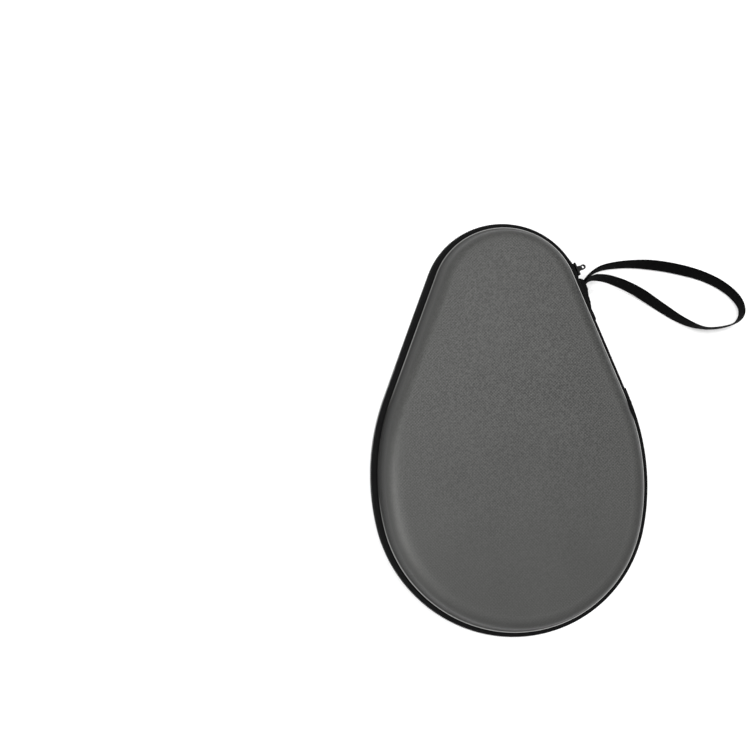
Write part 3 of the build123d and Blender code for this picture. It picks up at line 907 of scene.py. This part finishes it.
strap, strap_line = strap_ribbon()
dress(strap, "base", "webbing", "wrist_strap")
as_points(strap_line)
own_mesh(strap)

# --- Shells ---
END_PATCHES = ((31.5, 37.5), (92.3, 100.0))     # down the side, over both ends of the hinge strip
STITCH_PITCH = 2.6
SEAM_PITCH = 4.0
STOP_LENGTH = 1.8
for half, lower in (("lid", False), ("base", True)):
    skin = shell_layer(f"{half}_skin", 0.0, SKIN, lower, lip_foot)
    dress(skin, half, "grey_skin", f"{half}_outer_skin")
    foam = shell_layer(f"{half}_foam", SKIN + GLUE, FOAM, lower, step=4.0)
    dress(foam, half, "foam", f"{half}_foam_shell")
    cloth = shell_layer(f"{half}_lining_cloth", SKIN + FOAM + 2 * GLUE, LINING, lower, step=3.0)
    dress(cloth, half, "lining", f"{half}_lining")

    tape = zip_tapes(lower)
    dress(tape, half, "zip_tape", f"{half}_zip_tape")
    start = side_run(COIL_START_BASE if lower else COIL_START_LID)
    teeth = zip_teeth(lower, start, 0.5 if lower else 0.0)
    dress(teeth, half, "coil", f"{half}_zip_coil")

    sew_runs = runs_between(start + 1.0, RIM_RUN + side_run(COIL_END) - 1.0, STITCH_PITCH)
    thread = stitch_row(f"{half}_coil_thread", sew_runs, TAPE_OUT - 0.05, 3.35, 1.9, 0.42, lower)
    dress(thread, half, "thread")

    stops = []
    coil_start = COIL_START_BASE if lower else COIL_START_LID
    for first in (coil_start + 0.2, COIL_END - 2.0):
        section = box_section(TAPE_OUT + 0.02, RIDGE, 0.4, 2.7, 0.35)
        runs = [side_run(first + STOP_LENGTH) + STOP_LENGTH * t for t in (0.0, 0.08, 0.5, 0.92, 1.0)]
        stops.append(sweep(f"{half}_stops", runs, section, lower=lower))
    dress(join(stops), half, "black_metal", f"{half}_zip_stops")

    patches = []
    for first, last in END_PATCHES:
        runs = runs_between(side_run(last), side_run(first), 0.7)
        section = box_section(TAPE_OUT + 0.02, RIDGE - 0.02, 0.36, 2.74, 0.5)
        patches.append(sweep(f"{half}_end_patches", runs, section, lower=lower))
    dress(join(patches), half, "zip_tape", f"{half}_zip_end_patches")

    leg = LINING_STEP + GLUE
    leg_inside = leg + BINDING
    lean = (BINDING_TOP - BAND_HALF) * tan(WALL_DRAFT)
    binding_section = rounded(
        [
            (-2.0, 7.45), (-2.0, 7.45 - BINDING), (-leg_inside, 7.45 - BINDING),
            (-leg_inside - lean, BINDING_TOP), (-leg - lean, BINDING_TOP), (-leg, BAND_HALF), (-leg, 7.45),
        ],
        0.38,
    )
    count = int(RIM_RUN / 2.5)
    ring_runs = [RIM_RUN * index / count for index in range(count)]
    binding = sweep(f"{half}_binding_tape", ring_runs, binding_section, ring=True, lower=lower)
    dress(binding, half, "binding", f"{half}_rim_binding")
    seam_out = -(leg_inside + 1.6 * tan(WALL_DRAFT) + 0.2)
    seam_count = int(RIM_RUN / SEAM_PITCH)
    seam_runs = [RIM_RUN * (index + 0.5) / seam_count for index in range(seam_count)]
    seam = stitch_row(f"{half}_seam_thread", seam_runs, seam_out, 9.9, 2.9, 0.5, lower, slant=0.12)
    dress(seam, half, "thread", f"{half}_seam_stitches")


def hinge_section():
    """The woven strip from seam to seam, with soft ribs down it."""
    outer, inner = [], []
    for index in range(-24, 25):
        height = index * 3.2 / 24
        out = 3.4 + 0.10 * cos(2 * pi * height / 1.3)
        outer.append((out, height))
        inner.append((2.5, height))
    top_out = arc_points(-0.9, 4.1, 4.3, range(10, 91, 10)) + [(-3.5, 8.4)]
    top_in = arc_points(-0.9, 4.1, 3.4, range(10, 91, 10)) + [(-3.5, 7.5)]
    bottom_out = [(out, -height) for out, height in top_out]
    bottom_in = [(out, -height) for out, height in top_in]
    return bottom_out[::-1] + outer + top_out + top_in[::-1] + inner[::-1] + bottom_in


strip_runs = runs_between(side_run(HINGE_END - 0.2), side_run(HINGE_START + 0.2), 1.0)
lining_section = [(1.6, -5.7 + 11.4 * index / 24) for index in range(25)]
lining_section += [(1.0, height) for _, height in reversed(lining_section)]
lining_runs = runs_between(side_run(HINGE_END + 4), side_run(HINGE_START - 4), 1.2)
for part, hinge_runs, section, slot in (
    ("hinge_strip", strip_runs, hinge_section(), "zip_tape"),
    ("hinge_lining", lining_runs, lining_section, "binding"),
):
    cloth = sweep(f"{part}_cloth", hinge_runs, section, smooth_angle=60)
    cloth.data.materials.append(FINISHES[slot])
    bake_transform(cloth)
    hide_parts(f"lid_{part}", f"base_{part}")

# --- Slider, anchor and the tapes' end ---
for name, body in (("slider_body", "slider"), ("slider_pin", "slider"), ("pull_tab", "pull")):
    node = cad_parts[name]
    node.data.materials.clear()
    node.data.materials.append(FINISHES["black_metal"])
    bevel = node.modifiers.new("edge", "BEVEL")
    bevel.width = (0.12 if name == "slider_pin" else 0.22) * MM
    bevel.segments = 3
    bevel.limit_method = "ANGLE"
    bevel.angle_limit = radians(40)


def side_block(name, along, out, heights, radius, wobble, rows=14):
    """A padded cloth block beside the straight side, with rounded edges and slight puckers."""
    eased = [0.5 - 0.5 * cos(pi * index / rows) for index in range(rows + 1)]
    runs = [side_run(along[1]) + (along[1] - along[0]) * t for t in eased]
    middle_out, middle_height = sum(out) / 2, sum(heights) / 2

    def section(run):
        from_end = min(run - runs[0], runs[-1] - run)
        shrink = 1 - 0.14 * max(0.0, 1 - from_end / radius) ** 2
        points = box_section(out[0], out[1], heights[0], heights[1], radius)
        pucker = 1 + wobble * sin(run * 3.1)
        return [
            (middle_out + (o - middle_out) * shrink * pucker, middle_height + (h - middle_height) * shrink)
            for o, h in points
        ]

    return sweep(name, runs, section, smooth_angle=60)


anchor = side_block("strap_anchor_tab", (8.0, 18.0), (4.25, 5.5), (-8.1, -3.2), 0.45, 0.05)
dress(anchor, "base", "webbing", "strap_anchor")
fold = side_block("zip_end_fold", (99.5, 112.5), (2.7, 6.0), (-6.3, -3.3), 0.6, 0.04)
dress(fold, "base", "zip_tape")


def bar_tack(along):
    """A dense zigzag of thread across the anchor's end."""
    verts = []
    turns, sides = 11, 6
    for index in range(turns * 2 + 1):
        height = -7.8 + 4.2 * index / (turns * 2)
        spot_along = along + (0.5 if index % 2 else 0.0)
        for across, up in circle(sides):
            point = side_point(spot_along + 0.1 * across, 0.22, Z_MID + height)
            verts.append(point + OUTWARD * 0.16 * up * MM)
    return new_piece("strap_tacks", verts, tube_faces(turns * 2, sides), smooth_angle=60)


dress(join([bar_tack(8.1), bar_tack(17.3)]), "base", "thread", "strap_bar_tacks")


def tail_cloth():
    """The tapes' joined end: a folded tongue that stands out and tapers down the side."""
    verts, rings = [], []
    rows, cols = 60, 8
    first, last, widest, longest = 3.7, 39.9, 13.0, 4.8
    for row in range(rows + 1):
        along = first + (last - first) * row / rows
        if along < widest:
            reach = 0.2 + (longest - 0.2) * min(1.0, (along - first) / 2.2) ** 0.6
        else:
            reach = longest * ((last + 0.6 - along) / (last + 0.6 - widest)) ** 1.2
        reach += 0.10 * sin(along * 1.9) * min(1.0, reach)
        ring = []
        for col in range(cols + 1):
            s = col / cols
            lift = 0.45 * sin(along * 0.55 + 1.0) * s * s
            fat = 0.42 + 0.10 * (s > 0.8) - 0.25 * (s > 0.95)
            ring.append((0.06 + reach * s, -1.75 + lift, fat))
        ring = [(o, h + f) for o, h, f in ring] + [(o, h - f) for o, h, f in reversed(ring)]
        verts += [side_point(along, o, Z_MID + h) for o, h in ring]
        rings.append([(along, o) for o, _ in ring])
    faces = tube_faces(rows, len(rings[0]))
    return new_piece("zip_tail_cloth", verts, faces, tube_uvs(rings), smooth_angle=50)


tail = dress(tail_cloth(), "base", "zip_tape", "zip_tail")
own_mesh(tail)

guard_runs = runs_between(side_run(4.0), side_run(-9.0), 0.8)
guard = sweep("zip_guard_cloth", guard_runs, box_section(0.6, 1.4, -6.6, 5.9, 0.3))
dress(guard, "base", "zip_tape", "zip_guard_flap")

# --- Inside fittings ---
BAND_Y = 40.0             # the elastic band over the bat's handle
BAND_WIDTH = 22.0
BAND_Z = 15.0


def side_x(y, inset):
    """Half width of the case at y on its straight sides, in from the rim by inset."""
    return (NARROW_R - inset + (NARROW_Y - y) * sin(SIDE_ANGLE)) / cos(SIDE_ANGLE)


def elastic_sheet(name, y_low, y_high, level, thickness, inset, x_low=-1.0, x_high=1.0, rib=1.4):
    """Ribbed elastic from side to side: x shares run from the left wall to the right wall."""
    verts, rings = [], []
    rows, cols = 120, int((y_high - y_low) / rib * 6)
    for row in range(rows + 1):
        share = x_low + (x_high - x_low) * row / rows
        top, bottom = [], []
        for col in range(cols + 1):
            y = y_low + (y_high - y_low) * col / cols
            x = side_x(y, inset) * share
            relief = 0.5 + 0.5 * cos(2 * pi * (y - y_low) / rib)
            edge = 0.55 if col in (0, cols) else 1.0
            fat = thickness / 2 * edge * (0.82 + 0.18 * relief)
            height = level + 0.03 * cos(x * 2 * pi / 1.1)
            top.append((x, y, height + fat))
            bottom.append((x, y, height - fat))
        points = top + bottom[::-1]
        verts += [(x * MM, y * MM, z * MM) for x, y, z in points]
        rings.append([(x, y) for x, y, _ in points])
    faces = tube_faces(rows, len(rings[0]))
    return new_piece(name, verts, faces, tube_uvs(rings), smooth_angle=50)


band_inset = LINING_STEP + BINDING + 0.9
band_low, band_high = BAND_Y - BAND_WIDTH / 2, BAND_Y + BAND_WIDTH / 2
band = elastic_sheet("handle_band_elastic", band_low, band_high, BAND_Z, 1.0, band_inset)
dress(band, "base", "elastic", "handle_band")
tabs = []
tab_share = 1 - 10.5 / side_x(BAND_Y, band_inset)
for x_low, x_high in ((-1.0, -tab_share), (tab_share, 1.0)):
    place = (BAND_Y - 12, BAND_Y + 12, BAND_Z - 1.05, 1.0, band_inset + 1.0)
    tabs.append(elastic_sheet("handle_band_ends", *place, x_low, x_high, rib=1.8))
dress(join(tabs), "base", "elastic", "handle_band_tabs")


def zigzag(name, x_from, x_to, y_from, y_to, level, count, size):
    """A zigzag seam on a flat piece."""
    verts = []
    sides = 6
    for index in range(count + 1):
        x = x_from + (x_to - x_from) * (index % 2)
        y = y_from + (y_to - y_from) * index / count
        for across, up in circle(sides):
            verts.append(Vector((x, y + size / 2 * across, level + size / 2 * up)) * MM)
    return new_piece(name, verts, tube_faces(count, sides), smooth_angle=60)


seams = []
for sign in (-1, 1):
    for inset in (8.0, 11.0):
        x = sign * (side_x(band_high, band_inset) - inset + 4)
        place = (x - 0.9, x + 0.9, BAND_Y - 9.5, BAND_Y + 9.5, BAND_Z + 0.55)
        seams.append(zigzag("band_end_thread", *place, count=16, size=0.42))
dress(join(seams), "base", "thread")

# Mesh pocket in the lid.
POCKET_EDGE_Y = -5.0
POCKET_Z = 37.0
CELL = 2.5                # across one hole's cell
HOLE = 0.62               # hole radius as a share of the cell's
wall_in = LINING_STEP + (POCKET_Z - Z_MID - BAND_HALF) * tan(WALL_DRAFT)


def inset_of(x, y):
    """How far in from the shell's rim a point is."""
    x = abs(x)
    hip = atan2(y - HIP_Y, x - HIP_X)
    if hip < -HIP_TURN or (y < WIDE_Y and atan2(x, WIDE_Y - y) < pi / 2 - HIP_TURN):
        return WIDE_R - hypot(x, y - WIDE_Y)
    if hip <= SIDE_ANGLE:
        return HIP_R - hypot(x - HIP_X, y - HIP_Y)
    return NARROW_R - (x * cos(SIDE_ANGLE) + (y - NARROW_Y) * sin(SIDE_ANGLE))


def pocket_net():
    """Knitted mesh: a sheet of small round holes, with a sewn edge against the lining."""
    verts, faces = [], []
    rise = CELL * sqrt(3) / 2
    row = 0
    y = POCKET_EDGE_Y - 0.6
    while y > WIDE_Y - WIDE_R:
        x = -100 + (CELL / 2 if row % 2 else 0)
        while x < 100:
            if inset_of(x, y) > wall_in + 1.9:
                first = len(verts)
                for scale in (1 / sqrt(3), HOLE / 2):
                    for k in range(6):
                        angle = pi / 6 + k * pi / 3
                        corner = Vector((cos(angle), sin(angle), 0)) * CELL * scale
                        verts.append((Vector((x, y, POCKET_Z)) + corner) * MM)
                for k in range(6):
                    a, b = first + k, first + (k + 1) % 6
                    faces.append((a, b, b + 6, a + 6))
            x += CELL
        y -= rise
        row += 1
    net = new_piece("pocket_net", verts, faces, merge=2e-5)
    net.data.shade_smooth()
    solid = net.modifiers.new("thickness", "SOLIDIFY")
    solid.thickness = 0.35 * MM
    solid.offset = 0.0
    return net


net = pocket_net()
bpy.context.view_layer.update()
solid_mesh = bpy.data.meshes.new_from_object(net.evaluated_get(bpy.context.evaluated_depsgraph_get()))
net.modifiers.clear()
net.data = solid_mesh


def run_at_y(y, right):
    """The run where the rim's inner offset crosses y, found by stepping along it."""
    best = None
    for index in range(4000):
        run = RIM_RUN * index / 4000
        spot, direction, _ = rim_at(run)
        inner = spot - direction * wall_in
        if (inner.x > 0) == right and (best is None or abs(inner.y - y) < best[0]):
            best = (abs(inner.y - y), run)
    return best[1]


edge_runs = runs_between(run_at_y(POCKET_EDGE_Y, False), run_at_y(POCKET_EDGE_Y, True), 2.0)
edge_section = box_section(-wall_in - 5.2, -wall_in - 0.75, 12.75, 13.4, 0.28)
edge = sweep("pocket_edge", edge_runs, edge_section)
dress(edge, "lid", "elastic")
dress(net, "lid", "mesh", "lid_pocket_mesh")
hem_place = (POCKET_EDGE_Y, POCKET_EDGE_Y + 6, POCKET_Z, 1.6, wall_in + 0.6)
hem = elastic_sheet("pocket_hem_elastic", *hem_place, rib=1.5)
dress(hem, "lid", "elastic", "lid_pocket_hem")

# --- Stage and light ---
def stage_floor():
    """A pale floor that turns up into a wall far away."""
    flat, bend, top = 2.4, 0.8, 2.2
    profile = [(0.3, 0.0), (0.8, 0.0), (1.6, 0.0), (flat, 0.0)]
    for degree in range(10, 91, 10):
        turn = radians(degree)
        profile.append((flat + bend * sin(turn), bend - bend * cos(turn)))
    profile.append((flat + bend, top))
    sides = 64
    verts = [(radius * x, radius * y, height) for radius, height in profile for x, y in circle(sides)]
    middle = len(verts)
    verts.append((0, 0, 0))
    faces = tube_faces(len(profile) - 1, sides)[:-2]
    faces += [(middle, side, (side + 1) % sides) for side in range(sides)]
    mesh = bpy.data.meshes.new("floor")
    mesh.from_pydata(verts, [], faces)
    mesh.shade_smooth()
    floor_piece = bpy.data.objects.new("floor", mesh)
    scene.collection.objects.link(floor_piece)
    paint = Finish("floor", (0.90, 0.90, 0.90), 0.9, Specular_IOR_Level=0.0)
    paint.shade(paint.noise(400, 2), 0.99, 1.01)
    mesh.materials.append(paint.mat)


def softbox(name, place, aim, size, power):
    data = bpy.data.lights.new(name, "AREA")
    data.shape = "RECTANGLE"
    data.size = size
    data.size_y = size
    data.energy = power
    lamp = bpy.data.objects.new(name, data)
    lamp.location = place
    lamp.rotation_mode = "QUATERNION"
    lamp.rotation_quaternion = (Vector(aim) - Vector(place)).to_track_quat("-Z", "Y")
    scene.collection.objects.link(lamp)


stage_floor()
softbox("overhead", (0.02, 0.36, 1.30), (0.0, 0.0, 0.0), 1.1, 25)
softbox("left", (-0.52, -0.22, 0.86), (-0.05, -0.06, 0.04), 0.30, 5.0)

world = bpy.data.worlds.new("studio")
world.use_nodes = True
world.node_tree.nodes["Background"].inputs["Color"].default_value = (1, 1, 1, 1)
world.node_tree.nodes["Background"].inputs["Strength"].default_value = 0.22
scene.world = world
scene.view_settings.view_transform = "Standard"
scene.view_settings.look = "None"
